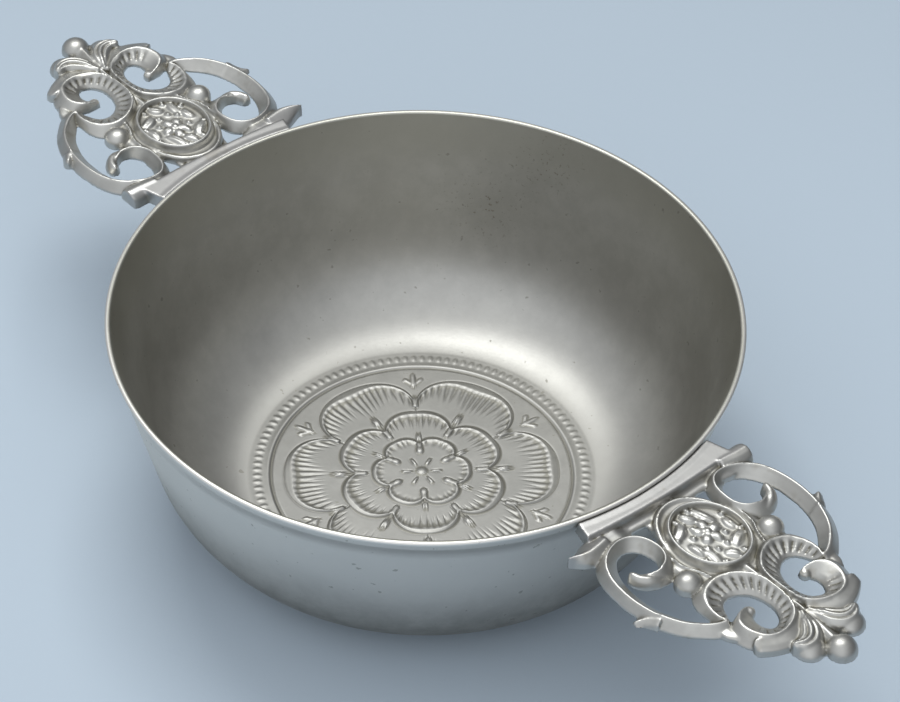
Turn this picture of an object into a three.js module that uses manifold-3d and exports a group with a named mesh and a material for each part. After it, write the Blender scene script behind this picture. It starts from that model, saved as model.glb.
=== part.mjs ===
// A two-eared pewter porringer, in millimetres, +Z up.
// The origin is the centre of the base on the table, and +X runs through the right ear.
// The bowl is one turned casting with a rose in low relief in its base. The two pierced ears come
// from one mould and are soldered to its wall.

import * as THREE from 'three';
import { mergeVertices } from 'three/addons/utils/BufferGeometryUtils.js';
import Module from 'manifold-3d';

const wasm = await Module();
wasm.setup();

// Driving dimensions of the bowl
const HEIGHT = 49.5;            // table to lip
const RIM_RADIUS = 67.3;        // outside of the lip
const LIP_WIDTH = 1.3;          // thickness of the wall at the lip
const RIM_BAND = 2.6;           // depth of the plain band turned under the lip
const BAND_STEP = 0.3;          // how far that band stands out from the wall
const WALL_SLOPE = 0.255;       // how far the wall draws in for each millimetre down
const BOOGE_RADIUS = 24;        // outside curve from wall to base
const INNER_BOOGE_RADIUS = 21.2;
const FLOOR = 2.2;              // thickness of the base
const TURNED_SIDES = 60;

// The rose: six petals in each of three rings, inside a turned line and a raised border
const BORDER_RADIUS = 37.4;
const BORDER_WIDTH = 3;
const BORDER_RISE = 0.15;
const ROSE_RADIUS = 33;         // the turned line round the rose
const PETALS = [
  { turn: 52, neck: 8.4, tip: 10.9, lip: 0.9, top: 0.44 },
  { turn: 22, neck: 14.2, tip: 18.9, lip: 1.3, top: 0.38 },
  { turn: 52, neck: 21.0, tip: 30.2, lip: 1.8, top: 0.34 },
];

// Driving dimensions of an ear, seen from above: u outward from the bowl's axis, v across,
// heights counted from the plane of the lip
const SEAT_GAP = 0.3;           // solder gap between ear and wall
const BACK = -3.9;              // flat back of the ear
const BASE = -3.5;              // where the walls of a scroll rise from the back
const BAR = { edge: 70.55, bow: 0.9, halfAngle: 0.272, top: -0.6 };
const MEDALLION = {
  u: 83.9, oval: 1.09, field: 7.6, fieldLevel: -1.75, ring: 8.2, ringTop: -0.25,
  skirt: 10, towardBar: 1.6, towardTip: 0.9, sides: 28,
};
const BEAD = { u: 89.5, v: 11.6, radius: 2.85, top: -0.6 };
const SIDE_BULB = { u: 116.9, v: 4.9, radius: 3.4, top: -1.2 };
const TIP_BALL = { u: 121.0, v: -1.3, radius: 3.4, top: -0.5 };
const FLUTE_DEPTH = 0.3;
const FLUTED_SHARE = 0.82;      // the rest of the scroll is its smooth rolled end

// Pewter, the bowl duller than the ears
const pewter = (color, roughness) => new THREE.MeshStandardMaterial({ color, roughness, metalness: 1 });
const bowlPewter = pewter(0x8d8c88, 0.42);
const earPewter = pewter(0xa3a3a0, 0.34);

const { lerp, smoothstep } = THREE.MathUtils;

// A closed mesh with shared vertices and no empty triangles
function closedMesh(geometry) {
  geometry.deleteAttribute('normal');
  geometry.deleteAttribute('uv');
  const merged = mergeVertices(geometry, 1e-4);
  const corners = merged.index.array;
  const kept = [];
  for (let i = 0; i < corners.length; i += 3) {
    const [a, b, c] = corners.slice(i, i + 3);
    if (a !== b && b !== c && c !== a) kept.push(a, b, c);
  }
  merged.setIndex(kept);
  return merged;
}

// From three.js geometry to a solid that can be joined and cut
function toSolid(geometry) {
  const mesh = closedMesh(geometry);
  return new wasm.Manifold(new wasm.Mesh({
    numProp: 3,
    vertProperties: new Float32Array(mesh.attributes.position.array),
    triVerts: new Uint32Array(mesh.index.array),
  }));
}

// And back again
function toGeometry(solid) {
  const { vertProperties, triVerts } = solid.getMesh();
  const geometry = new THREE.BufferGeometry();
  geometry.setAttribute('position', new THREE.BufferAttribute(new Float32Array(vertProperties), 3));
  geometry.setIndex(Array.from(triVerts));
  geometry.computeVertexNormals();
  return geometry;
}

const join = (solids) => solids.reduce((whole, next) => whole.add(next));

// A closed skin over rings of points, with a flat fan at each end
function loft(rings) {
  const size = rings[0].length;
  const positions = rings.flat(2);
  const indices = [];
  for (let i = 0; i + 1 < rings.length; i++) {
    for (let k = 0; k < size; k++) {
      const a = i * size + k;
      const b = i * size + (k + 1) % size;
      indices.push(a, a + size, b, b, a + size, b + size);
    }
  }
  const last = (rings.length - 1) * size;
  for (let k = 1; k + 1 < size; k++) {
    indices.push(0, k, k + 1);
    indices.push(last, last + k + 1, last + k);
  }
  const geometry = new THREE.BufferGeometry();
  geometry.setAttribute('position', new THREE.Float32BufferAttribute(positions, 3));
  geometry.setIndex(indices);
  return geometry;
}

// A shape turned about Z whose profile may change on the way round. profile(turn) lists
// [radius, height] points from the middle of the top, out and down to the edge of the underside.
function turned(profile, sides) {
  const columns = [];
  for (let k = 0; k < sides; k++) {
    const turn = 2 * Math.PI * k / sides;
    columns.push(profile(turn).map(([radius, height]) => [
      radius * Math.cos(turn), radius * Math.sin(turn), height,
    ]));
  }
  return loft(columns[0].map((_, i) => columns.map((column) => column[i])));
}

// The bowl

// A quarter-like curve from the flat base up to the sloping wall, as [radius, height] points
function booge(rimRadius, level, radius, steps) {
  const tilt = Math.atan(WALL_SLOPE);
  const rise = radius * (1 - Math.sin(tilt));
  const wallAtCurve = rimRadius - WALL_SLOPE * (HEIGHT - level - rise);
  const centre = wallAtCurve - radius * Math.cos(tilt);
  const points = [];
  for (let i = 0; i <= steps; i++) {
    const angle = lerp(-Math.PI / 2, -tilt, i / steps);
    points.push([centre + radius * Math.cos(angle), level + radius * (1 + Math.sin(angle))]);
  }
  return points;
}

// The outside from the edge of the base to the underside of the lip, grown by a clearance
function outside(grow = 0) {
  const wall = RIM_RADIUS - BAND_STEP + grow;
  return [
    ...booge(wall, -grow, BOOGE_RADIUS + grow, 6),
    [wall - WALL_SLOPE * (RIM_BAND + BAND_STEP), HEIGHT - RIM_BAND - BAND_STEP],
    [RIM_RADIUS + grow - WALL_SLOPE * RIM_BAND, HEIGHT - RIM_BAND],
  ];
}

// One ring of petals: each rises from its outline to the crest of its turned-over lip, and its
// face lies a little lower
function petalRing({ turn: first, neck, tip, lip, top }, turn) {
  const degrees = THREE.MathUtils.radToDeg(turn);
  const off = Math.abs(THREE.MathUtils.euclideanModulo(degrees - first + 30, 60) - 30) / 30;
  const outline = neck + (tip - neck) * (1 - off ** 2.5) ** 0.7;
  return [
    [outline - 1.9 * lip, FLOOR + 0.4 * top],
    [outline - lip, FLOOR + top],
    [outline, FLOOR + 0.06],
  ];
}

function makeBowl() {
  const inner = RIM_RADIUS - LIP_WIDTH;
  const round = LIP_WIDTH / 4;
  const border = [
    [ROSE_RADIUS - 0.4, FLOOR],
    [ROSE_RADIUS, FLOOR - 0.26],
    [ROSE_RADIUS + 0.4, FLOOR],
    [BORDER_RADIUS - BORDER_WIDTH, FLOOR],
    [BORDER_RADIUS - BORDER_WIDTH + 0.4, FLOOR + BORDER_RISE],
    [BORDER_RADIUS - 0.4, FLOOR + BORDER_RISE],
    [BORDER_RADIUS, FLOOR],
  ];
  const lip = [
    [inner, HEIGHT - round],
    [inner + round, HEIGHT],
    [RIM_RADIUS - round, HEIGHT],
    [RIM_RADIUS, HEIGHT - round],
  ];
  const middle = [[1.1, FLOOR + 0.45], [1.7, FLOOR + 0.15]];
  const wall = booge(inner, FLOOR, INNER_BOOGE_RADIUS, 6);
  const profile = (turn) => [
    ...middle, ...PETALS.flatMap((ring) => petalRing(ring, turn)), ...border, ...wall, ...lip,
    ...outside().reverse(),
  ];
  return turned(profile, TURNED_SIDES);
}

// The ears

// The values that a list of stations gives at a share of the way along it, joined by smooth curves
function along(stations) {
  const width = stations[0].length;
  const curves = [];
  for (let i = 0; i < width; i += 3) {
    const points = stations.map((row) => new THREE.Vector3(row[i], row[i + 1] ?? 0, row[i + 2] ?? 0));
    curves.push(new THREE.CatmullRomCurve3(points));
  }
  return (at) => curves.flatMap((curve) => curve.getPoint(at).toArray()).slice(0, width);
}

// A plain strap along [u, v, half width] stations. Its section lists [across, height] points from
// the right edge of travel, across -1, to the left one, across 1.
function strap(stations, section, steps) {
  const value = along(stations);
  const rings = [];
  for (let i = 0; i <= steps; i++) {
    const at = i / steps;
    const [u, v, half] = value(at);
    const [before, after] = [value(Math.max(at - 0.01, 0)), value(Math.min(at + 0.01, 1))];
    const ahead = new THREE.Vector2(after[0] - before[0], after[1] - before[1]).normalize();
    const ring = section.map(([across, height]) => [
      u - ahead.y * across * half, v + ahead.x * across * half, height,
    ]);
    rings.push([...ring, ring.at(-1).with(2, BACK - 1), ring[0].with(2, BACK - 1)]);
  }
  return loft(rings);
}

const ridged = [[-1, -2.9], [-0.6, -1.9], [0, -0.85], [0.6, -1.9], [1, -2.9]];
const rounded = [[-1, -2.6], [-0.8, -1.3], [0, -0.5], [0.8, -1.3], [1, -2.6]];
const flat = [[-1, -2.7], [0, -2.4], [1, -2.7]];
const barbed = [[-1, -3], [-0.5, -2.2], [0.5, -1.15], [0.85, -0.95], [1, -1.5]];
const ribbed = [
  [-1, -2.9], [-0.7, -1.2], [-0.4, -1.8], [-0.05, -0.9], [0.3, -1.7], [0.65, -1.1], [1, -2.9],
];

// A scroll that travels anticlockwise about its eye. Its crest runs along [u, v, height] stations, each
// with the width of the face that falls to the eye and of the back that falls away from it. face(at)
// lists [share of that width, share of the drop] points.
function scroll(stations, face, ringsPerStation) {
  const value = along(stations);
  const steps = Math.round((stations.length - 1) * ringsPerStation);
  const rings = [];
  for (let i = 0; i <= steps; i++) {
    const at = i / steps;
    const [u, v, crest, faceWidth, backWidth] = value(at);
    const [before, after] = [value(Math.max(at - 0.004, 0)), value(Math.min(at + 0.004, 1))];
    const ahead = new THREE.Vector2(after[0] - before[0], after[1] - before[1]).normalize();
    const place = (across, drop) => [
      u - ahead.y * across, v + ahead.x * across, lerp(crest, BASE, drop),
    ];
    const outer = place(-backWidth, 1);
    const slope = face(at, i).map(([share, drop]) => place(faceWidth * share, drop));
    rings.push([
      outer.with(2, BACK - 1), outer, place(0, 0), ...slope, slope.at(-1).with(2, BACK - 1),
    ]);
  }
  return loft(rings);
}

const dished = () => [[0.3, 0.29], [0.7, 0.72], [1, 1]];

// The flutes cross the face from the crest to a plain rim round the eye, and the rolled end is smooth
function fluted(at, ring) {
  const rolled = smoothstep(at, FLUTED_SHARE - 0.04, FLUTED_SHARE + 0.06);
  const dip = (1 - rolled) * FLUTE_DEPTH * (ring % 2 === 0 ? -1 : 1) / 2.5;
  const blend = (open, closed) => lerp(open, closed, rolled);
  return [
    [0.4, blend(0.3, 0.08) + 0.6 * dip],
    [0.76, blend(0.54, 0.26) + dip],
    [1, blend(0.85, 0.8)],
  ];
}

// The same shape on the other side of the ear
function mirrored(geometry) {
  const other = geometry.clone().scale(1, -1, 1);
  const corners = Array.from(other.index.array);
  const turnedOver = [];
  for (let i = 0; i < corners.length; i += 3) turnedOver.push(corners[i], corners[i + 2], corners[i + 1]);
  other.setIndex(turnedOver);
  return other;
}

// A rounded button: a flattened ball
function button({ u, v, radius, top }) {
  const ball = new THREE.SphereGeometry(1, 12, 6);
  ball.rotateX(Math.PI / 2);
  ball.scale(radius, radius, top - BACK);
  ball.translate(u, v, BACK);
  return ball;
}

// The bar along the bowl's wall, with a slightly bowed edge and a foot that runs out to the back
function bar() {
  const { edge, bow, halfAngle, top } = BAR;
  const rings = [];
  for (let i = 0; i <= 7; i++) {
    const angle = lerp(halfAngle, -halfAngle, i / 7);
    const outer = (edge - bow * (angle / halfAngle) ** 2) / Math.cos(angle);
    const profile = [
      [RIM_RADIUS - 4, BACK - 1], [RIM_RADIUS - 4, top + 0.2], [RIM_RADIUS + 0.1, top + 0.2],
      [RIM_RADIUS + 1.6, top - 0.1], [outer - 0.4, top], [outer, top - 0.5], [outer + 0.15, -2.4],
      [outer + 1.4, -3.3], [outer + 1.4, BACK - 1],
    ];
    rings.push(profile.map(([radius, height]) => [
      radius * Math.cos(angle), radius * Math.sin(angle), height,
    ]));
  }
  return loft(rings);
}

// An egg-shaped plate with a raised edge that reaches towards the bar, a moulded ring and a field
function medallion() {
  const { u, oval, field, fieldLevel, ring, ringTop, skirt, towardBar, towardTip, sides } = MEDALLION;
  const plate = turned((turn) => {
    const nearBar = Math.max(0, -Math.cos(turn));
    const nearTip = Math.max(0, Math.cos(turn));
    const reach = skirt + towardBar * nearBar ** 2 + towardTip * nearTip ** 2;
    const edge = -2.35 + 0.75 * nearBar;
    return [
      [field, fieldLevel],
      [ring - 0.35, ringTop - 0.5],
      [ring, ringTop],
      [ring + 0.35, ringTop - 0.5],
      [ring + 0.7, -2.2],
      [(ring + reach) / 2 + 0.3, edge / 2 - 1.35],
      [reach - 0.6, edge],
      [reach, edge - 0.8],
      [reach + 0.1, BACK - 1],
    ];
  }, sides);
  plate.scale(oval, 1 / oval, 1);
  plate.translate(u, 0, 0);
  return plate;
}

function makeEar() {
  const cScroll = [
    [102.0, 13.2, -1.5, 0.7, 2.2], [100.0, 17.5, -1.4, 2.2, 2.0], [97.3, 20.2, -1.35, 2.45, 1.85],
    [93.4, 22.3, -1.35, 2.55, 1.8], [89.0, 23.4, -1.35, 2.55, 1.65], [84.0, 23.6, -1.3, 2.6, 1.6],
    [79.4, 22.8, -1.2, 2.6, 1.8], [76.3, 21.2, -1.0, 2.5, 2.0], [74.3, 18.7, -0.85, 2.0, 1.9],
    [73.4, 15.5, -0.8, 1.7, 1.6], [73.9, 12.9, -0.8, 2.0, 1.6], [75.6, 11.0, -0.8, 2.1, 1.6],
    [78.2, 10.1, -0.8, 2.0, 1.6], [80.9, 10.2, -0.8, 1.6, 1.7], [82.8, 11.4, -0.8, 1.2, 2.4],
    [83.8, 13.9, -0.9, 0.6, 2.8], [83.2, 16.5, -1.3, 0.4, 2.7], [81.9, 17.9, -1.8, 0.4, 2.3],
    [79.5, 18.7, -2.8, 0.3, 0.8],
  ];
  const flutedScroll = [
    [102.1, 13.2, -1.6, 1.0, 0.6], [100.7, 13.9, -1.5, 2.3, 0.9], [98.6, 14.0, -1.5, 3.1, 1.05],
    [96.3, 13.3, -1.5, 3.6, 1.9], [94.2, 11.8, -1.4, 4.1, 2.4], [93.0, 9.6, -1.3, 4.5, 2.2],
    [92.8, 7.2, -1.1, 4.7, 1.8], [93.6, 4.8, -0.95, 4.65, 1.5], [94.9, 2.9, -0.8, 4.6, 1.0],
    [96.6, 1.4, -0.7, 4.5, 0.8], [98.9, 0.6, -0.65, 4.0, 0.7], [101.6, 0.4, -0.65, 3.4, 0.7],
    [104.6, 0.5, -0.65, 2.9, 0.7], [107.3, 1.0, -0.7, 3.0, 0.75], [109.4, 2.3, -0.75, 3.0, 0.75],
    [110.8, 4.4, -0.75, 2.9, 0.75], [111.4, 6.8, -0.75, 2.9, 0.7], [111.3, 9.0, -0.75, 3.4, 0.85],
    [110.2, 11.0, -0.75, 3.8, 1.9], [108.0, 12.3, -0.75, 4.0, 2.4], [105.8, 12.7, -0.8, 4.1, 2.5],
    [103.9, 12.2, -0.9, 3.8, 2.3], [102.6, 11.0, -1.05, 3.0, 1.0], [102.0, 9.6, -1.3, 2.9, 0.6],
    [101.8, 8.3, -1.7, 2.4, 0.6], [101.9, 7.3, -2.1, 1.0, 0.5],
  ];
  const barb = [[109.0, 1.2, 1.0], [111.4, 4.0, 1.9], [112.8, 7.0, 2.0], [112.2, 9.8, 1.9], [110.7, 13.0, 1.4]];
  const nub = [[91.5, 23.4, 1.5], [90.6, 24.2, 1.3], [89.7, 25.3, 0.7]];
  const thorn = [[93.5, -23.2, 1.5], [91.9, -24.0, 1.5], [90.7, -25.2, 1.3], [90.4, -27.2, 0.4]];
  const rolledLeaf = [[71.0, 15.5, 2.0], [71.2, 17.5, 2.4], [71.5, 20.0, 2.6], [71.6, 22.9, 2.5]];
  const pointedLeaf = [[70.7, -16.5, 2.6], [70.9, -19.0, 2.8], [70.9, -21.6, 2.6], [70.2, -25.4, 0.3]];
  const lobe = [[110.2, 0.3, 0.7], [112.6, 1.5, 1.6], [114.8, 2.9, 2.4], [116.2, 4.7, 2.5], [115.9, 8.0, 1.2]];
  const stem = [[92, 0, 3.6], [96, 0, 2.1], [104, 0, 1.0], [110, 0, 1.3], [116, -0.8, 2.2], [119, -1.2, 2.4]];
  const web = [[80.5, 8.6, 1.6], [84.5, 9.9, 1.9], [87.5, 9.6, 2.2], [91.0, 8.2, 2.2], [92.5, 5.5, 2.2]];
  const seat = [[71.2, 11.6, 1.0], [71.7, 14.0, 1.7], [72.0, 17.5, 2.3]];
  const joint = [[101.8, 14.6, 1.6], [104.0, 14.7, 1.5], [105.5, 14.3, 1.1]];
  const collar = [[69.5, 0, 7.6], [72.5, 0, 6.4], [77.5, 0, 7.5]];

  const onBothSides = [
    scroll(cScroll, dished, 1.4),
    scroll(flutedScroll, fluted, 2),
    strap(barb, barbed, 4),
    strap(lobe, ribbed, 5),
    strap(web, flat, 4),
    strap(seat, flat, 2),
    strap(joint, flat, 2),
    button(SIDE_BULB),
    button(BEAD),
  ];
  const whole = join([
    ...onBothSides,
    ...onBothSides.map(mirrored),
    bar(),
    medallion(),
    strap(collar, flat, 2),
    strap(stem, ridged, 6),
    strap(nub, ridged, 3),
    strap(thorn, ridged, 4),
    strap(rolledLeaf, rounded, 4),
    strap(pointedLeaf, ridged, 5),
    button(TIP_BALL),
  ].map(toSolid));
  const aboveBack = new THREE.BoxGeometry(4 * RIM_RADIUS, 4 * RIM_RADIUS, HEIGHT);
  aboveBack.translate(0, 0, BACK + HEIGHT / 2);
  const clearance = [
    [RIM_RADIUS + SEAT_GAP, HEIGHT + 5],
    [RIM_RADIUS + SEAT_GAP, HEIGHT - LIP_WIDTH / 4],
    ...outside(SEAT_GAP).reverse(),
  ];
  const bowlSpace = turned(() => clearance, TURNED_SIDES);
  bowlSpace.translate(0, 0, -HEIGHT);
  return toGeometry(whole.intersect(toSolid(aboveBack)).subtract(toSolid(bowlSpace)));
}

const porringer = new THREE.Group();
porringer.name = 'porringer';

const bowl = new THREE.Mesh(closedMesh(makeBowl()), bowlPewter);
bowl.name = 'bowl';
porringer.add(bowl);

const earShape = makeEar();
for (const [name, turn] of [['ear_right', 0], ['ear_left', Math.PI]]) {
  const ear = new THREE.Mesh(earShape, earPewter.clone());
  ear.name = name;
  ear.position.z = HEIGHT;
  ear.rotation.z = turn;
  porringer.add(ear);
}

export default porringer;
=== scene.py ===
# A two-eared pewter porringer with a cast rose in its base, on a pale table.
# Shapes are worked out in millimetres and turned to metres when a mesh is made.

import math

import bmesh
import bpy
import numpy as np
from mathutils import Matrix, Vector


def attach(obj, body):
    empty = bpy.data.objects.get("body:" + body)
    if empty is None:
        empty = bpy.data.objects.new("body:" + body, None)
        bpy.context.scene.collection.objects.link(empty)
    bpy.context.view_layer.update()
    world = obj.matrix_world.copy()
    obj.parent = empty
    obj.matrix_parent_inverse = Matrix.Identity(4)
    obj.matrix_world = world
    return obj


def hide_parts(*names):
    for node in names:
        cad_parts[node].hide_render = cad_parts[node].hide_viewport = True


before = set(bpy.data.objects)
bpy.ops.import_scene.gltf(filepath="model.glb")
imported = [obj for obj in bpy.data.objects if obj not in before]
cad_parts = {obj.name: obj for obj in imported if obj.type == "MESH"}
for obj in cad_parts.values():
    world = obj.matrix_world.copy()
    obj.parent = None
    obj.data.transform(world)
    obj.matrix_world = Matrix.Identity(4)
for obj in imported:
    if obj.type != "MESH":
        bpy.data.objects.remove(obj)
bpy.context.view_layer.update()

MM = 0.001

# The bowl, as in the construction model
HEIGHT = 49.5         # table to lip
RIM_RADIUS = 67.3     # outside of the lip
LIP_WIDTH = 1.3       # thickness of the wall at the lip
LIP_ROUND = 0.45      # height of the lip's rounded top
RIM_BAND = 2.6        # depth of the plain band turned under the lip
BAND_STEP = 0.3       # how far that band stands out from the wall
WALL_SLOPE = 0.255    # how far the wall draws in for each millimetre down
BOOGE_RADIUS = 24.0   # outside curve from wall to base
INNER_BOOGE_RADIUS = 21.2
FLOOR = 2.2           # thickness of the base
BASE_HUB = 4.0        # the innermost ring of the underside

# The rose and its border
PETAL_PITCH = 60      # degrees from one petal to the next
HALF_PITCH = PETAL_PITCH / 2
STEM_HALF = 0.72      # half the width of the stem between two petals
STEM_RISE = 0.08      # how far it stands above their lips
UNDERCUT = 0.05       # depth of the faint groove round each raised form
ROSE_RADIUS = 33.0    # the turned line round the rose
ROSE_LINE = 0.26      # its depth and its width
ROSE_SWELL = 0.08     # the low swell beyond it
BUTTON_RADIUS = 1.15  # the button in the middle of the rose
BUTTON_BASE = 0.18
BUTTON_RISE = 0.3
BORDER_RADIUS = 36.0  # the middle of the border
BORDER_HALF = 1.5
BORDER_SINK = 0.03    # how far the border lies below the floor
BORDER_BEADS = 120
BEAD_LONG = 0.95      # half a bead's length along the radius
BEAD_WIDE = 0.55      # half its width
BEAD_RISE = 0.11

# How finely the bowl is made
COARSE_TURN = 192     # points round a plain ring
FINE_TURN = 960       # points round a ring of the rose
COARSE_MIDDLE = 20    # how many rings at the middle of the rose are plain again
EASED_POINTS = 220    # points on the inner profile while it is eased
EASED_STEP = 5        # every so many of them is kept
EASING_TURNS = 700

# The ears, heights counted from the plane of the lip
BACK = -3.9           # flat back of the ear
BASE = -3.5           # where the walls of a scroll rise from the back
SEAT_GAP = 0.3        # solder gap between ear and wall, in the solids
CAST_GAP = 0.06       # and the least gap of the finished casting
FLUTES = 22
FLUTE_END = 0.82      # share of the scroll that is fluted, before its smooth rolled end
FLUTE_DEPTH = 0.75
MEDALLION = dict(u=83.9, oval=1.09, field=-1.75)
EAR_VOXEL = 0.24
EAR_SOFTENING = 0.5   # share of each step towards the neighbours' mean
EAR_SOFTENINGS = 3

# How many steps away the hollows are measured, near and far
BOWL_HOLLOWS = (2, 14)
EAR_HOLLOWS = (3, 24)

# The camera that the photograph was taken with, round the centre of the rim
CAMERA_DISTANCE = 748.0
CAMERA_ELEVATION = 42.51
CAMERA_TURN = -43.06  # its compass bearing, 0 along +X
CAMERA_YAW = 0.40
CAMERA_PITCH = -0.61
CAMERA_ROLL = 1.55
CAMERA_LENS = 142.56

# The lamp, in degrees and metres
SOFT_BOX = dict(azimuth=154, elevation=68, distance=1.0, size=(0.55, 0.45), radiance=5.8,
                tint=(0.985, 1.0, 0.995))

# The room: [place, colour] from the horizon up and [place, grey] from its left side to its right,
# the compass bearings of its right side and of its front, and how bright it is behind and in front
ROOM = ((0.0, (0.33, 0.345, 0.362)), (0.4, (0.49, 0.51, 0.535)), (1.0, (0.62, 0.645, 0.675)))
ROOM_SIDES = ((0.0, 0.88), (0.5, 1.05), (1.0, 0.45))
RIGHT = math.radians(47)
FRONT = math.radians(300)
BACK_TO_FRONT = (0.58, 2.1)
FLOOR_SIZE = 3000.0   # from the bowl to each side of the floor


# Plain helpers

def smooth(x):
    """0 up to x = 0, 1 from x = 1, and a smooth rise between."""
    x = np.clip(x, 0.0, 1.0)
    return x * x * (3 - 2 * x)


def bell(x, width):
    """1 at x = 0, falling to about a third at width on either side."""
    return np.exp(-(x / width) ** 2)


def add_object(name, data):
    thing = bpy.data.objects.new(name, data)
    bpy.context.scene.collection.objects.link(thing)
    return thing


def make_object(name, points, faces, smooth_shading=True):
    """A mesh object from points in millimetres."""
    mesh = bpy.data.meshes.new(name)
    mesh.from_pydata((np.asarray(points, float) * MM).tolist(), [], faces)
    mesh.update()
    if smooth_shading:
        mesh.shade_smooth()
    return add_object(name, mesh)


def ring_at(radius, turn, level, middle=(0.0, 0.0), oval=1.0):
    """Points round a middle at the angles in turn, on a circle or an oval."""
    return np.column_stack([middle[0] + oval * radius * np.cos(turn),
                            middle[1] + radius / oval * np.sin(turn),
                            np.broadcast_to(level, turn.shape)])


def run_along(points):
    """The distance run along a line at each of its points."""
    return np.concatenate([[0.0], np.cumsum(np.hypot(*np.diff(points, axis=0).T))])


def spline(points, steps):
    """A centripetal Catmull-Rom curve through points, with an equal count of steps for each span."""
    points = np.asarray(points, float)
    ends = 2 * points[[0, -1]] - points[[1, -2]]
    padded = np.vstack([ends[:1], points, ends[1:]])
    spans = len(points) - 1
    out = []
    for at in np.linspace(0, spans, steps + 1):
        k = min(int(at), spans - 1)
        p = padded[k:k + 4]
        gaps = np.linalg.norm(np.diff(p, axis=0), axis=1) ** 0.5
        t = np.concatenate([[0.0], np.cumsum(gaps)])
        x = t[1] + (at - k) * (t[2] - t[1])
        a = [(p[i] * (t[i + 1] - x) + p[i + 1] * (x - t[i])) / (t[i + 1] - t[i]) for i in range(3)]
        b = [(a[i] * (t[i + 2] - x) + a[i + 1] * (x - t[i])) / (t[i + 2] - t[i]) for i in range(2)]
        out.append((b[0] * (t[2] - x) + b[1] * (x - t[1])) / (t[2] - t[1]))
    return np.array(out)


# The bowl

def booge(rim_radius, level, radius, steps):
    """The curve from the flat base up to the sloping wall."""
    tilt = math.atan(WALL_SLOPE)
    rise = radius * (1 - math.sin(tilt))
    centre = rim_radius - WALL_SLOPE * (HEIGHT - level - rise) - radius * math.cos(tilt)
    angles = np.linspace(-math.pi / 2, -tilt, steps)
    return np.column_stack([centre + radius * np.cos(angles), level + radius * (1 + np.sin(angles))])


def soften(points, turns, from_first=10.0, from_last=14.0):
    """Eases a profile's changes of curvature, less and less towards its two ends."""
    run = run_along(points)
    even = np.linspace(0, run[-1], EASED_POINTS)
    fine = np.column_stack([np.interp(even, run, column) for column in points.T])
    weight = (smooth((even[-1] - even) / from_last) * smooth(even / from_first))[1:-1, None]
    for _ in range(turns):
        fine[1:-1] += 0.5 * weight * ((fine[:-2] + fine[2:]) / 2 - fine[1:-1])
    return fine


def line(start, end, steps):
    """Points from start towards end, without the end."""
    share = np.linspace(0, 1, steps, endpoint=False)[:, None]
    return np.asarray(start, float) * (1 - share) + np.asarray(end, float) * share


def from_middle(angle, turn):
    """Degrees from the middle of the nearest of six petals, of which one points to turn."""
    return (angle - turn + HALF_PITCH) % PETAL_PITCH - HALF_PITCH


def outline_of(petal, angle):
    """For a ring of six petals: the offset from the nearest petal's middle in degrees, the radius
    of its outline, and the radius of the crest of its turned-over lip."""
    off = from_middle(angle, petal["turn"])
    rise = np.clip(1 - (np.abs(off) / HALF_PITCH) ** petal["square"], 0, 1) ** petal["round"]
    outline = petal["neck"] + (petal["tip"] - petal["neck"]) * rise
    lip = petal["side_lip"] + (petal["lip"] - petal["side_lip"]) * bell(off, petal["fold"])
    return off, outline, outline - lip


def lay_petals(height, radius, angle, petal):
    """Lays a ring of petals over a height field: each rises from its outline to its lip, and falls
    behind it to a face with strokes of uneven length."""
    off, outline, crest = outline_of(petal, angle)
    level, top = petal["level"], petal["top"]
    up_lip = smooth((outline - radius) / (outline - crest))
    lip = level + (top - level) * up_lip ** 0.8
    inside = level + (top - level) * bell(crest - radius, 0.5)
    face = np.where(radius > crest, lip, inside)
    length = petal["flute"] * (1 - 0.55 * (np.abs(off) / HALF_PITCH) ** 1.5)
    length = length * (0.8 + 0.2 * np.sin(off * 1.9 + angle * 0.31))
    into = crest - radius
    window = smooth(into / 0.4) * smooth((length - into) / (0.5 * length))
    wander = 1.3 * np.sin(angle * 0.23)
    groove = (0.5 + 0.5 * np.cos(2 * math.pi * off / petal["spacing"] + wander)) ** 1.4
    face = face - petal["depth"] * window * groove
    laid = np.where(radius < outline, face, height - UNDERCUT * bell(radius - outline, 0.28))
    return ridge(laid, radius, angle, petal["turn"] + HALF_PITCH, petal["stem"], STEM_HALF, top + STEM_RISE)


def ridge(height, radius, angle, turn, reach, half, top, lean=0.0):
    """Six rounded ridges along the radius from reach[0] to reach[1], each leaning sideways by lean
    millimetres at its outer end."""
    off = np.radians(from_middle(angle, turn))
    along, across = radius * np.cos(off), radius * np.sin(off)
    share = np.clip((along - reach[0]) / (reach[1] - reach[0]), 0, 1)
    near = np.hypot(along - (reach[0] + share * (reach[1] - reach[0])), across - lean * share)
    base = height - UNDERCUT * bell(near - half, 0.2)
    round_top = np.sqrt(np.clip(1 - (near / half) ** 2, 0, 1))
    return np.where(near < half, np.maximum(base, base + (top - base) * round_top), base)


OUTER_PETALS = dict(
    turn=52.0, neck=21.0, tip=30.2, square=2.6, round=0.62, lip=2.1, side_lip=0.9, fold=10.0, level=0.04,
    top=0.28, spacing=3.33, depth=0.15, flute=8.0, stem=(20.8, 22.5))
MIDDLE_PETALS = dict(
    turn=22.0, neck=14.2, tip=18.9, square=2.3, round=0.75, lip=1.2, side_lip=0.7, fold=12.0, level=0.12,
    top=0.33, spacing=5.45, depth=0.15, flute=4.4, stem=(12.6, 14.3))
INNER_PETALS = dict(
    turn=52.0, neck=8.4, tip=10.9, square=2.3, round=0.75, lip=0.8, side_lip=0.6, fold=12.0, level=0.18,
    top=0.38, spacing=8.6, depth=0.10, flute=2.4, stem=(6.7, 8.1))

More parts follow.
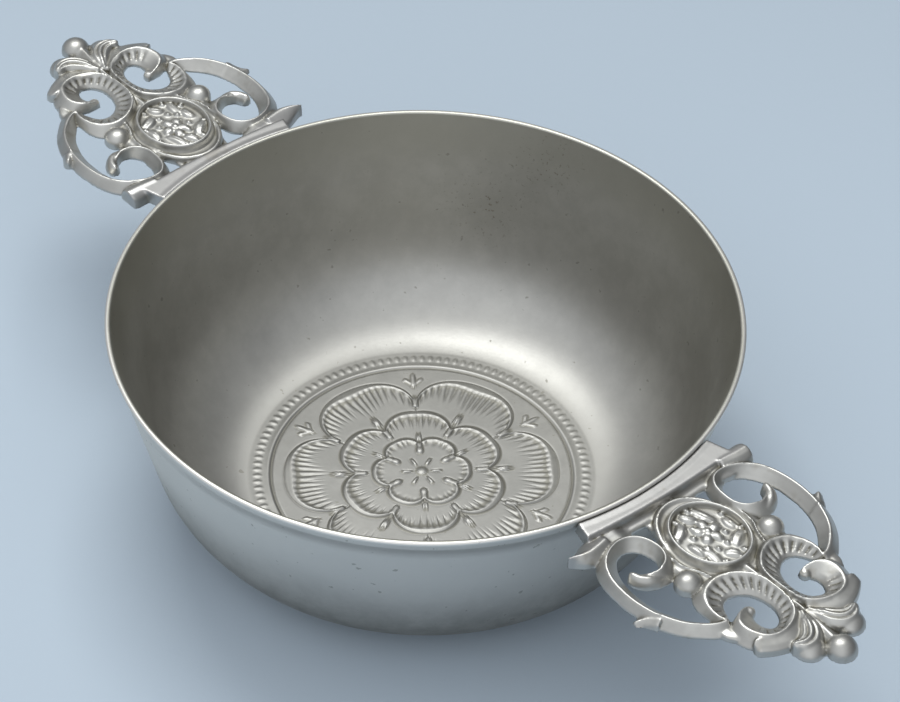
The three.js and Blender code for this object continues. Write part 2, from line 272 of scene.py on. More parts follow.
# The small ridges of the rose, from the outside in
SEPALS = [dict(reach=(27.4, 30.2), half=0.58, top=0.22),
          dict(reach=(27.4, 28.9), half=0.58, top=0.22, lean=1.7),
          dict(reach=(27.4, 28.9), half=0.58, top=0.22, lean=-1.7)]
OUTER_KNOB = dict(reach=(17.6, 18.3), half=0.85, top=0.50)
MIDDLE_KNOB = dict(reach=(10.3, 10.5), half=0.70, top=0.50)
INNER_KNOB = dict(reach=(6.2, 6.4), half=0.85, top=0.54)
SEED = dict(reach=(2.7, 3.9), half=0.42, top=0.42)


def rose_relief(radius, angle):
    """Height above the floor of the cast rose and its border. radius in mm, angle in degrees."""
    height = np.zeros_like(radius)
    height -= ROSE_LINE * bell(radius - ROSE_RADIUS, ROSE_LINE)
    height += ROSE_SWELL * bell(radius - ROSE_RADIUS - 0.75, 0.42)
    outer, inner = OUTER_PETALS["turn"], MIDDLE_PETALS["turn"]
    height = lay_petals(height, radius, angle, OUTER_PETALS)
    for sepal in SEPALS:
        height = ridge(height, radius, angle, inner, **sepal)
    height = lay_petals(height, radius, angle, MIDDLE_PETALS)
    height = ridge(height, radius, angle, outer, **OUTER_KNOB)
    height = lay_petals(height, radius, angle, INNER_PETALS)
    for turn, form in ((inner, MIDDLE_KNOB), (inner, INNER_KNOB), (outer, SEED)):
        height = ridge(height, radius, angle, turn, **form)
    button = BUTTON_BASE + BUTTON_RISE * np.sqrt(np.clip(1 - (radius / BUTTON_RADIUS) ** 2, 0, 1))
    height = np.where(radius < BUTTON_RADIUS, np.maximum(height, button), height)
    return height + border_relief(radius, angle)


def border_relief(radius, angle):
    """The beaded border, a little below the floor between two soft edges."""
    from_edge = BORDER_HALF - np.abs(radius - BORDER_RADIUS)
    pitch = 360.0 / BORDER_BEADS
    across = radius * np.radians((angle + pitch / 2) % pitch - pitch / 2) / BEAD_WIDE
    along = (radius - BORDER_RADIUS) / BEAD_LONG
    bead = np.sqrt(np.clip(1 - across ** 2 - along ** 2, 0, 1))
    return BEAD_RISE * bead - BORDER_SINK * smooth(from_edge / 0.35)


def turned_ring(radius, level, count, relief=False):
    """The points of one ring of the bowl. radius is a number or a function of the angle."""
    angle = np.arange(count) * 360.0 / count
    radius = radius(angle) if callable(radius) else np.full(count, float(radius))
    lift = rose_relief(radius, angle) if relief else 0.0
    return ring_at(radius, np.radians(angle), level + lift)


def rose_rings():
    """The rings of the floor from the border to the middle. They follow the petals' outlines and
    lips, so that these stay sharp."""
    def circle(radius):
        return lambda angle: np.full_like(angle, radius)

    def outline(petal, beyond):
        return lambda angle: outline_of(petal, angle)[1] + beyond

    def crest(petal):
        return lambda angle: outline_of(petal, angle)[2]

    # Each place, and how many rings there are from it to the next
    stops = [(circle(BORDER_RADIUS + 1.9), 15), (circle(ROSE_RADIUS + 0.6), 5),
             (circle(ROSE_RADIUS - 0.6), 16)]
    for petal, on_lip, on_face in ((OUTER_PETALS, 4, 15), (MIDDLE_PETALS, 4, 10), (INNER_PETALS, 3, 22)):
        stops += [(outline(petal, 0.05), 1), (outline(petal, -0.05), on_lip), (crest(petal), on_face)]
    stops.append((circle(0.35), 1))
    rings = []
    for (start, count), (end, _) in zip(stops, stops[1:]):
        for share in np.arange(count) / count:
            rings.append(lambda angle, a=start, b=end, s=share: a(angle) * (1 - s) + b(angle) * s)
    rings.append(stops[-1][0])
    return rings


def make_bowl():
    """One skin, from the middle of the base up the outside, over the lip and down to the rose."""
    wall = RIM_RADIUS - BAND_STEP
    inner = RIM_RADIUS - LIP_WIDTH
    under_band = HEIGHT - RIM_BAND
    outer_curve = booge(wall, 0.0, BOOGE_RADIUS, 24)
    inside = booge(inner, FLOOR, INNER_BOOGE_RADIUS, 60)[::-1]
    lip_turn = np.linspace(0, math.pi, 11)
    half = LIP_WIDTH / 2
    lip = np.column_stack([RIM_RADIUS - half + half * np.cos(lip_turn),
                           HEIGHT - LIP_ROUND + LIP_ROUND * np.sin(lip_turn)])
    below_band = (wall - WALL_SLOPE * (RIM_BAND + BAND_STEP), under_band - BAND_STEP)
    band_edge = (RIM_RADIUS - WALL_SLOPE * RIM_BAND, under_band)
    profile = np.vstack([
        line((BASE_HUB, 0.0), outer_curve[0], 6), outer_curve[:-1],
        line(outer_curve[-1], below_band, 8), line(below_band, band_edge, 2),
        line(band_edge, lip[0], 4), lip[:-1],
        soften(np.vstack([lip[-1:], inside]), EASING_TURNS)[::EASED_STEP],
    ])
    rings = [(radius, level, COARSE_TURN, False) for radius, level in profile]
    fine = rose_rings()
    for k, radius in enumerate(fine):
        rings.append((radius, FLOOR, FINE_TURN if k < len(fine) - COARSE_MIDDLE else COARSE_TURN, True))

    points, faces, begins = [np.zeros((1, 3))], [], [1]
    for radius, level, count, relief in rings:
        points.append(turned_ring(radius, level, count, relief))
        begins.append(begins[-1] + count)
    last = begins[-1]
    points.append(np.array([[0.0, 0.0, FLOOR + BUTTON_BASE + BUTTON_RISE]]))
    faces += [(0, 1 + (i + 1) % COARSE_TURN, 1 + i) for i in range(COARSE_TURN)]
    for k in range(len(rings) - 1):
        faces += between(begins[k], rings[k][2], begins[k + 1], rings[k + 1][2])
    tail = last - COARSE_TURN
    faces += [(last, tail + i, tail + (i + 1) % COARSE_TURN) for i in range(COARSE_TURN)]
    return np.vstack(points), faces


def between(a, n, b, m):
    """Faces between a ring of n points that begins at a and one of m points that begins at b."""
    few = min(n, m)
    faces = []
    for i in range(few):
        low = [a + (i * (n // few) + k) % n for k in range(n // few + 1)]
        high = [b + (i * (m // few) + k) % m for k in range(m // few + 1)]
        faces.append(tuple(low + high[::-1]))
    return faces


# The ears

def resample(points, spacing):
    """Even steps along a smooth curve through points, and the distance run at each. Only the first
    two columns count as distance; the rest are carried along."""
    dense = spline(points, 24 * (len(points) - 1))
    run = run_along(dense[:, :2])
    even = np.linspace(0, run[-1], max(4, int(run[-1] / spacing) + 1))
    return np.column_stack([np.interp(even, run, column) for column in dense.T]), even


def loft(rings):
    """A closed skin over rings of points."""
    rings = np.asarray(rings)
    count, size = rings.shape[:2]
    faces = []
    for i in range(count - 1):
        a = i * size
        faces += [(a + k, a + (k + 1) % size, a + size + (k + 1) % size, a + size + k) for k in range(size)]
    faces.append(tuple(range(size))[::-1])
    faces.append(tuple((count - 1) * size + k for k in range(size)))
    return rings.reshape(-1, 3), faces


def strap(route, section, spacing=0.3, lift=None, round_end=True, draft=0.12, columns=21):
    """A cast strap along a route of [u, v, half width] points. section gives the height for a place
    across the strap, -1 at the right edge of travel and 1 at the left, and at the share along it.
    lift raises it by a height that depends on the same two, and draft widens its foot."""
    line_points, run = resample(route, spacing)
    along = np.gradient(line_points[:, :2], axis=0)
    along /= np.linalg.norm(along, axis=1)[:, None]
    share = run / run[-1]
    fall = np.zeros(len(run))
    if round_end:
        half = line_points[-1, 2]
        turn = np.radians(np.arange(15, 90, 12))
        tip = line_points[-1, :2] + np.outer(half * np.sin(turn), along[-1])
        line_points = np.vstack([line_points, np.column_stack([tip, half * np.cos(turn)])])
        along = np.vstack([along, np.repeat(along[-1:], len(turn), axis=0)])
        share = np.concatenate([share, np.ones(len(turn))])
        fall = np.concatenate([fall, 0.9 * half / 2 * (1 - np.cos(turn))])
    across = -np.cos(np.linspace(0, math.pi, columns))
    rings = []
    for (u, v, half), (du, dv), at, drop in zip(line_points, along, share, fall):
        height = np.maximum(section(across, at) - drop, BACK + 0.15)
        if lift is not None:
            height = height + lift(across, at)
        ring = np.column_stack([u - dv * across * half, v + du * across * half, height])
        foot = half + draft
        right = [u + dv * foot, v - du * foot, BACK]
        left = [u - dv * foot, v + du * foot, BACK]
        rings.append(np.vstack([ring, left, right]))
    return loft(rings)


def curve(knots, place):
    """The value at a place on straight lines through [place, value] knots."""
    places, values = np.array(knots, float).T
    return np.interp(place, places, values)


def through(*knots):
    """A section through [across, height] knots."""
    return lambda across, at: curve(knots, across)


def sloping(start, slope):
    """A lift that begins at start and grows by slope over the whole way."""
    return lambda across, at: start + slope * at


def surfacing(depth, reach, sunk=0.0):
    """A lift that comes up by depth over the first reach of the way, to stay sunk below zero."""
    return lambda across, at: -depth * (1 - smooth(at / reach)) - sunk


RIDGED = through((-1, -2.9), (-0.6, -1.9), (-0.15, -1.0), (0, -0.85), (0.15, -1.0), (0.6, -1.9), (1, -2.9))
LEAF = through((-1, -3.0), (-0.8, -2.3), (-0.3, -1.7), (0, -1.5), (0.4, -1.8), (0.8, -2.3), (1, -3.0))
BARB = through((-1, -2.3), (-0.5, -1.75), (0.1, -1.4), (0.5, -1.15), (0.8, -1.0), (1, -1.3))
NOSE = through((-1, -2.9), (-0.75, -2.0), (-0.4, -1.4), (0, -1.2), (0.4, -1.4), (0.75, -2.0), (1, -2.9))
ROLLED = through((-1, -2.6), (-0.85, -1.5), (-0.5, -0.75), (0, -0.4), (0.5, -0.7), (0.85, -1.4),
                 (1, -2.6))
POINTED = through((-1, -2.6), (-0.7, -1.6), (-0.35, -0.8), (-0.2, -0.75), (0.2, -1.3), (0.8, -2.2),
                  (1, -3.0))
LOW = through((-1, -2.7), (0, -2.4), (1, -2.7))
WEB = through((-1, -3.3), (-0.5, -2.5), (0, -2.2), (0.5, -2.4), (1, -3.2))
SEAT = through((-1, -2.5), (-0.5, -1.8), (0.6, -1.5), (1, -1.6))
TONGUE = through((-1, -3.2), (0, -2.6), (1, -3.2))


def shell(across, at):
    """A fan with three broad ribs that bend towards its left edge."""
    body = -0.55 - 1.5 * np.abs(across) ** 2.6 - 0.6 * (1 - smooth(at / 0.4))
    valley = sum(bell(across - place, 0.13) for place in (-0.3, 0.3))
    return body - 0.6 * smooth(at / 0.12) * valley


# The face of a scroll falls from its crest to its eye, and its back falls outward: [share of the
# width, share of the drop]
DISHED_FACE = [(0, 0), (0.1, 0.03), (0.2, 0.2), (0.3, 0.3), (0.6, 0.62), (0.85, 0.9), (1, 1)]
ROUND_BACK = [(0, 0), (0.12, 0.05), (0.3, 0.22), (0.6, 0.55), (0.85, 0.85), (1, 1)]
FLUTED_FACE = [(0, 0), (0.07, 0.03), (0.3, 0.23), (0.55, 0.42), (0.72, 0.52), (0.79, 0.62), (0.84, 0.76),
               (0.95, 0.8), (1, 1)]
ROLLED_FACE = [(0, 0), (0.1, 0.04), (0.25, 0.14), (0.5, 0.34), (0.75, 0.56), (0.9, 0.76), (1, 1)]


def ribbon(rows, face, spacing=0.2, carve=None):
    """A cast band. Each row gives, for one place along it, its crest (u, v, height), the inner edge
    of its face and the outer edge of its back. face(inside, at) is the share of the way down, and
    carve(inside, at) is how much deeper the face is cut."""
    crest_first = [0, 1, 3, 4, 5, 6, 2]
    table, _ = resample(np.array(rows, float)[:, crest_first], spacing)
    crest, inner, outer, top = table[:, :2], table[:, 2:4], table[:, 4:6], table[:, 6]
    run = run_along((crest + inner) / 2)
    outside = np.linspace(1, 0, 10)[:-1]
    inside = np.concatenate([[0.0, 0.05], np.linspace(0.1, 0.7, 9), np.linspace(0.74, 1.0, 8)])
    rings = []
    for k, at in enumerate(run / run[-1]):
        back = crest[k] + np.outer(outside, outer[k] - crest[k])
        back = np.column_stack([back, top[k] + (BASE - top[k]) * curve(ROUND_BACK, outside)])
        front = crest[k] + np.outer(inside, inner[k] - crest[k])
        height = top[k] + (BASE - top[k]) * face(inside, at)
        if carve is not None:
            height = height - carve(inside, at)
        front = np.column_stack([front, height])
        feet = [np.append(inner[k], BACK), np.append(outer[k], BACK)]
        rings.append(np.vstack([back, front, feet]))
    return loft(rings)


def dished(inside, at):
    return curve(DISHED_FACE, inside)


def fluted(inside, at):
    """Stepped down to a plain rim round the eye; rolled over smoothly on the curl."""
    rolled = smooth((at - FLUTE_END + 0.04) / 0.12)
    return curve(FLUTED_FACE, inside) * (1 - rolled) + curve(ROLLED_FACE, inside) * rolled


def flutes(inside, at):
    """Grooves across the face that deepen towards the eye and end in round lobes."""
    strength = smooth(at / 0.04) * smooth((FLUTE_END + 0.03 - at) / 0.06)
    window = smooth((inside - 0.08) / 0.22) * smooth((0.80 - inside) / 0.06)
    groove = 1 - abs(math.sin(math.pi * FLUTES * at / FLUTE_END)) ** 0.8
    return strength * FLUTE_DEPTH * window * groove


def dome(u, v, radius, top, flat=1.0, sides=40):
    """A bead: a flattened ball on a short wall."""
    turn = np.linspace(0, 2 * math.pi, sides, endpoint=False)
    base = top - flat * radius
    levels = [(1.02, BACK)]
    for share in np.cos(np.radians(np.arange(0, 88, 8))):
        levels.append((share, base + flat * radius * math.sqrt(1 - share * share)))
    return loft([ring_at(radius * share, turn, level, (u, v)) for share, level in levels])


def sprig_relief(x, y):
    """Generic cast foliage for the medallion: a five-petalled blossom a little off the middle, a
    loose wreath of leaves round it, and berries between them."""
    height = np.zeros_like(x)

    def lay(px, py, long, wide, turn, top, vein=0.0):
        c, s = math.cos(turn), math.sin(turn)
        dx, dy = x - px, y - py
        a, b = (c * dx + s * dy) / long, (-s * dx + c * dy) / wide
        b = b + 0.35 * a * a
        body = top * np.sqrt(np.clip(1 - a * a - b * b, 0, 1))
        body = body - vein * bell(b, 0.16) * (body > 0.1)
        return np.maximum(height, body)

    for k in range(5):
        turn = math.radians(72 * k + 20)
        height = lay(1.9 * math.cos(turn) - 0.9, 1.9 * math.sin(turn) + 0.4, 1.5, 1.05, turn, 0.85, 0.25)
    height = lay(-0.9, 0.4, 0.9, 0.9, 0, 1.0)
    for k in range(8):
        turn = math.radians(45 * k + 50 + 7 * math.sin(4.1 * k))
        reach = 5.5 + 0.4 * math.sin(2.1 * k)
        lean = turn + math.radians(60 + 30 * math.sin(1.7 * k))
        height = lay(reach * math.cos(turn), reach * math.sin(turn), 2.4 + 0.4 * math.cos(3.1 * k), 1.15,
                     lean, 0.75 + 0.15 * math.sin(5.0 * k), 0.25)
        turn += math.radians(22)
        for out, size in ((3.6, 0.65), (7.0, 0.6)):
            height = lay(out * math.cos(turn), out * math.sin(turn), size, size, 0, 0.6)
    return height


# The medallion's moulded ring, from its plate in to its field: [radius, height]
MOULDING = [(9.1, -2.3), (8.75, -1.6), (8.6, -0.9), (8.45, -0.45), (8.2, -0.25), (7.98, -0.4),
            (7.82, -0.9), (7.72, -1.6)]


def medallion():
    """The oval boss: an egg-shaped plate with a raised edge that reaches towards the bar, a ring,
    and a field of foliage."""
    turn = np.linspace(0, 2 * math.pi, 256, endpoint=False)
    toward_bar = np.clip(-np.cos(turn), 0, 1)
    toward_tip = np.clip(np.cos(turn), 0, 1)
    skirt = 10.0 + 1.6 * toward_bar ** 2 + 0.9 * toward_tip ** 2
    edge = -2.35 + 0.75 * toward_bar
    levels = [(skirt + 0.1, BACK), (skirt, edge - 0.8), (skirt - 0.2, edge - 0.2), (skirt - 0.6, edge),
              (skirt - 1.0, edge - 0.1), (0.5 * skirt + 4.55, 0.5 * edge - 1.35)] + MOULDING
    for radius in np.arange(7.6, 0.2, -0.2):
        relief = sprig_relief(radius * np.cos(turn), radius * np.sin(turn))
        levels.append((radius, MEDALLION["field"] + relief))
    middle, oval = (MEDALLION["u"], 0.0), MEDALLION["oval"]
    return loft([ring_at(radius, turn, level, middle, oval) for radius, level in levels])


def bar():
    """The bar along the wall: a flat top with a slight crease, and a ledge along its foot. Its outer
    edge is bowed, and stands a little further out at one end."""
    angles = np.radians(np.linspace(-15.6, 15.6, 120))
    seat = RIM_RADIUS + SEAT_GAP
    rings = []
    for angle in angles:
        edge = 70.9 + 3.2 * angle - 0.9 * (angle / angles[-1]) ** 2
        outer = edge / math.cos(angle)
        profile = [(seat - WALL_SLOPE * 3.9 - 0.3, BACK), (seat - WALL_SLOPE * RIM_BAND, -RIM_BAND),
                   (seat - 0.25, -0.7), (seat - 0.1, -0.52), (seat + 1.4, -0.69), (seat + 1.7, -0.66),
                   (outer - 0.6, -0.6), (outer - 0.25, -0.68), (outer, -1.0), (outer + 0.15, -2.2),
                   (outer + 0.7, -2.6), (outer + 1.8, -2.75), (outer + 2.0, -3.2), (outer + 2.1, BACK)]
        rings.append([(r * math.cos(angle), r * math.sin(angle), z) for r, z in profile])
    return loft(rings)


def mirrored(solid):
    points, faces = solid
    return points * [1, -1, 1], [face[::-1] for face in faces]


# The two kinds of scroll, one row for each place along them: the crest's (u, v, height), the inner
# edge of the face and the outer edge of the back
C_SCROLL = [
    (102.0, 13.2, -1.5, 101.4, 13.0, 104.2, 14.4), (101.4, 15.2, -1.45, 100.0, 14.6, 103.6, 16.3),
    (100.0, 17.5, -1.4, 98.2, 16.2, 101.6, 18.8), (97.3, 20.2, -1.35, 95.6, 18.4, 98.4, 21.7),
    (93.4, 22.3, -1.35, 92.3, 20.0, 94.2, 23.9), (89.0, 23.4, -1.35, 88.4, 20.9, 89.4, 25.0),
    (84.0, 23.6, -1.3, 83.6, 21.0, 83.8, 25.2), (79.4, 22.8, -1.2, 80.0, 20.3, 78.5, 24.4),
    (76.3, 21.2, -1.0, 77.2, 18.9, 74.9, 22.6), (74.3, 18.7, -0.85, 75.6, 17.3, 72.6, 19.6),
    (73.4, 15.5, -0.8, 75.1, 15.4, 71.8, 15.6), (73.9, 12.9, -0.8, 75.7, 13.8, 72.5, 12.2),
    (75.6, 11.0, -0.8, 77.0, 12.6, 74.7, 9.7), (78.2, 10.1, -0.8, 79.0, 12.0, 77.8, 8.6),
    (80.9, 10.2, -0.8, 80.7, 11.8, 81.4, 8.6), (82.8, 11.4, -0.8, 82.0, 12.4, 84.6, 9.8),
    (83.7, 13.2, -0.85, 83.1, 13.5, 86.5, 12.6), (83.9, 14.8, -1.0, 83.4, 14.9, 86.6, 15.0),
    (83.2, 16.5, -1.3, 82.9, 16.2, 85.7, 17.6), (82.2, 17.7, -1.8, 82.1, 17.4, 83.8, 19.0),
]
FLUTED_SCROLL = [
    (102.1, 13.2, -1.6, 101.7, 12.2, 102.3, 13.8), (100.7, 13.9, -1.5, 100.5, 11.6, 100.9, 14.8),
    (98.6, 14.0, -1.5, 99.0, 10.9, 98.2, 15.0),
    (96.3, 13.3, -1.5, 97.9, 10.1, 95.2, 14.9), (94.2, 11.8, -1.4, 97.3, 9.0, 92.4, 13.5),
    (93.0, 9.6, -1.3, 97.2, 7.9, 90.9, 10.4), (92.8, 7.2, -1.1, 97.5, 6.7, 91.0, 7.0),
    (93.6, 4.8, -0.95, 98.2, 5.6, 92.3, 4.0), (94.9, 2.9, -0.8, 99.2, 4.6, 94.2, 2.2),
    (96.6, 1.4, -0.7, 100.4, 4.0, 96.2, 0.7), (98.9, 0.6, -0.65, 101.7, 3.6, 98.8, -0.1),
    (101.6, 0.4, -0.65, 103.1, 3.4, 101.6, -0.3), (104.6, 0.5, -0.65, 104.6, 3.4, 104.7, -0.2),
    (107.3, 1.0, -0.7, 106.1, 3.8, 107.6, 0.3), (109.4, 2.3, -0.75, 107.4, 4.6, 110.0, 1.8),
    (110.8, 4.4, -0.75, 108.2, 5.7, 111.5, 4.1), (111.4, 6.8, -0.75, 108.5, 6.7, 112.1, 6.8),
    (111.3, 9.0, -0.75, 108.2, 7.6, 112.1, 9.3), (110.2, 11.0, -0.75, 107.4, 8.2, 111.2, 12.6),
    (108.0, 12.3, -0.75, 106.4, 8.5, 108.7, 14.6), (105.8, 12.7, -0.8, 105.3, 8.5, 105.7, 15.2),
    (103.9, 12.2, -0.9, 104.3, 8.2, 102.9, 14.3), (102.6, 11.0, -1.05, 103.5, 7.7, 101.9, 11.7),
    (102.0, 9.6, -1.3, 102.9, 7.2, 101.4, 9.7), (101.8, 8.3, -1.7, 102.4, 6.8, 101.3, 8.0),
    (101.9, 7.3, -2.1, 102.3, 6.5, 101.5, 6.9),
]

# The straps' routes, each point [u, v, half width]
BARB_ROUTE = [(109.0, 1.2, 1.0), (111.4, 4.0, 1.9), (112.8, 7.0, 2.0), (112.2, 9.8, 1.9), (111.2, 12.0, 1.7),
              (110.7, 13.0, 1.5)]
NUB_ROUTE = [(91.5, 23.4, 1.5), (90.6, 24.2, 1.3), (89.9, 24.9, 1.1)]
THORN_ROUTE = [(93.5, 23.0, 1.5), (91.9, 23.7, 1.5), (90.6, 24.8, 1.3), (90.0, 25.9, 0.9)]
NOSE_ROUTE = [(85.0, 13.6, 1.0), (85.0, 15.3, 1.3), (84.2, 17.1, 1.4), (82.7, 18.4, 1.4), (81.7, 18.7, 1.3)]
ROLLED_ROUTE = [(71.0, 15.5, 2.0), (71.2, 17.5, 2.4), (71.5, 20.0, 2.6), (71.6, 22.2, 2.6),
                (71.6, 22.7, 2.4), (71.6, 23.0, 1.9)]
POINTED_ROUTE = [(70.7, 16.5, 2.6), (71.0, 19.0, 2.9), (71.2, 21.2, 2.7), (71.0, 23.2, 1.9),
                 (70.5, 25.0, 0.7), (70.2, 25.8, 0.3)]
LOBE_ROUTE = [(110.2, 0.3, 0.7), (112.6, 1.4, 1.6), (114.9, 2.6, 2.3), (116.3, 4.2, 2.4), (116.5, 6.0, 2.0),
              (116.0, 7.2, 1.3)]
STEM_ROUTE = [(92, 0, 3.6), (95, 0, 2.4), (99, 0, 1.2), (104, 0, 1.0), (109, 0, 1.2), (113, -0.4, 1.7),
              (117, -1.0, 2.3), (119, -1.2, 2.4)]
WEB_ROUTE = [(80.5, 8.6, 1.6), (84.5, 9.9, 1.9), (87.5, 9.6, 2.2), (91.0, 8.2, 2.2), (92.5, 5.5, 2.2)]
BROW_ROUTE = [(80.9, 9.4, 0.7), (84.0, 9.8, 0.8), (86.6, 9.5, 0.8), (89.0, 8.3, 0.8), (91.3, 7.6, 0.8)]
SEAT_ROUTE = [(71.6, 10.4, 1.2), (71.8, 13.5, 2.0), (72.2, 16.5, 2.3), (72.4, 19.0, 2.2)]
JOINT_ROUTE = [(101.8, 14.6, 1.6), (104.0, 14.7, 1.5), (105.5, 14.3, 1.1)]
TONGUE_ROUTE = [(69.5, 0, 7.6), (72.5, 0, 6.4), (77.5, 0, 7.5)]
BULBS = ((1, 117.0, 5.1), (-1, 116.6, 5.6))         # side, u and v of the tip's side bulbs
CURL_ROW = 11                                       # the row of a C-scroll where its curl begins
CURL_SHIFT = (1.0, 0.5, 0, 1.0, 0.5, 1.0, 0.5)      # how much nearer the left one's curl lies
LEAF_STEP = 0.262                                   # where the C-scroll's first leaf ends


def leaf_step(inside, at):
    """The outer arc is two leaves: one swells and ends in a step, and the next starts below it."""
    place = at - LEAF_STEP + 0.02 * inside
    return 0.05 - 0.22 * smooth((place + 0.14) / 0.14) * (place < 0)


def paired_solids():
    """What both sides of the ear have alike, as it lies on the left."""
    return [
        ribbon(FLUTED_SCROLL, fluted, 0.14, flutes),
        strap(BARB_ROUTE, BARB),
        strap(WEB_ROUTE, WEB),
        strap(BROW_ROUTE, RIDGED, lift=sloping(-0.75, 0)),
        strap(SEAT_ROUTE, SEAT, lift=surfacing(1.0, 0.4)),
        strap(JOINT_ROUTE, LOW),
        dome(89.5, 11.6, 2.85, -0.6, 0.8),
        strap(NOSE_ROUTE, NOSE, lift=surfacing(0.9, 0.6, 0.1)),
        dome(102.6, 7.8, 1.2, -2.0, 0.8),
    ]


def c_scrolls():
    rows = np.array(C_SCROLL)
    near_curl = bell(np.arange(len(rows)) - CURL_ROW, 2.0)[:, None]
    left = rows - near_curl * CURL_SHIFT
    return [ribbon(left, dished, carve=leaf_step), mirrored(ribbon(rows, dished, carve=leaf_step))]


def tip_lobes():
    """A ribbed fan and a bulb on each side of the tip."""
    solids = []
    for side, u, v in BULBS:
        route = [(a + u - 117.1, b + v - 5.0, half) for a, b, half in LOBE_ROUTE]
        pair = [strap(route, shell, spacing=0.15, columns=61), dome(u, v, 3.35, -1.2, 0.75)]
        solids += pair if side > 0 else [mirrored(solid) for solid in pair]
    return solids


def single_solids():
    """The middle of the ear, and the details in which its sides differ."""
    return [
        bar(),
        medallion(),
        strap(NUB_ROUTE, LEAF),
        mirrored(strap(THORN_ROUTE, LEAF, lift=sloping(0, -1.3))),
        strap(ROLLED_ROUTE, ROLLED, round_end=False),
        mirrored(strap(POINTED_ROUTE, POINTED, round_end=False)),
        strap(STEM_ROUTE, RIDGED, lift=sloping(-1.1, 0.7)),
        dome(120.9, -1.15, 3.2, -0.5, 0.85),
        strap(TONGUE_ROUTE, TONGUE),
    ]


def ear_solids():
    pairs = paired_solids()
    return pairs + [mirrored(solid) for solid in pairs] + c_scrolls() + tip_lobes() + single_solids()


def with_neighbours(values, edges, count):
    """The mean of each point's neighbours."""
    total = np.zeros_like(values)
    np.add.at(total, edges[:, 0], values[edges[:, 1]])
    np.add.at(total, edges[:, 1], values[edges[:, 0]])
    return total / count.reshape(-1, *[1] * (values.ndim - 1))


def read(items, name, width, kind=float):
    """The rows of a value of that width, one for each item of a mesh."""
    values = np.empty(len(items) * width, dtype=kind)
    items.foreach_get(name, values)
    return values.reshape(-1, width)


def mesh_arrays(mesh):
    """A mesh's points, its edges, and how many edges meet at each point."""
    edges = read(mesh.edges, "vertices", 2, np.int64)
    count = np.bincount(edges.ravel(), minlength=len(mesh.vertices)).astype(float)
    return read(mesh.vertices, "co", 3), edges, np.maximum(count, 1)


def write_mark(mesh, name, values):
    attribute = mesh.attributes.new(name, "FLOAT", "POINT")
    attribute.data.foreach_set("value", values.astype(np.float32))


def mark_hollows(mesh, small, large):
    """Writes how hollow the surface is at each point, in millimetres, for the dirt that stays in
    corners and the shine of worn crests: near from small details, far from larger ones."""
    points, edges, count = mesh_arrays(mesh)
    normals = read(mesh.vertices, "normal", 3)
    blurred = points
    for turn in range(1, large + 1):
        blurred = with_neighbours(blurred, edges, count)
        if turn in (small, large):
            depth = np.einsum("ij,ij->i", blurred - points, normals) / MM
            write_mark(mesh, "near" if turn == small else "far", depth)


def mark_outside(mesh):
    """Marks the points of the bowl up to the top of the lip, which come first."""
    points = mesh_arrays(mesh)[0]
    write_mark(mesh, "outside", np.arange(len(points)) < np.argmax(points[:, 2]))


def joined(solids, voxel):
    """One mesh in millimetres over closed solids that overlap."""
    points, faces, total = [], [], 0
    for solid_points, solid_faces in solids:
        points.append(solid_points)
        faces += [tuple(total + k for k in face) for face in solid_faces]
        total += len(solid_points)
    mesh = bpy.data.meshes.new("solids")
    mesh.from_pydata(np.vstack(points).tolist(), [], faces)
    edit = bmesh.new()
    edit.from_mesh(mesh)
    bmesh.ops.recalc_face_normals(edit, faces=edit.faces)
    edit.to_mesh(mesh)
    edit.free()
    rough = add_object("solids", mesh)
    remesh = rough.modifiers.new("join", "REMESH")
    remesh.mode = "VOXEL"
    remesh.voxel_size = voxel
    graph = bpy.context.evaluated_depsgraph_get()
    result = bpy.data.meshes.new_from_object(rough.evaluated_get(graph))
    bpy.data.objects.remove(rough)
    return result


def make_ear_mesh():
    """The ear's solids in one skin, softened as a casting is, with a flat back and clear of the wall."""
    mesh = joined(ear_solids(), EAR_VOXEL)
    points, edges, count = mesh_arrays(mesh)
    on_back = points[:, 2] < BACK + EAR_VOXEL / 2
    for _ in range(EAR_SOFTENINGS):
        around = with_neighbours(points, edges, count)
        moved = points * (1 - EAR_SOFTENING) + around * EAR_SOFTENING
        points = np.where(on_back[:, None], points, moved)
    points[on_back, 2] = BACK
    wall = RIM_RADIUS + CAST_GAP + WALL_SLOPE * np.clip(points[:, 2], -5, 0)
    points[:, :2] *= np.maximum(wall / np.hypot(points[:, 0], points[:, 1]), 1.0)[:, None]
    mesh.vertices.foreach_set("co", points.ravel())
    mesh.update()
    return mesh


# Materials

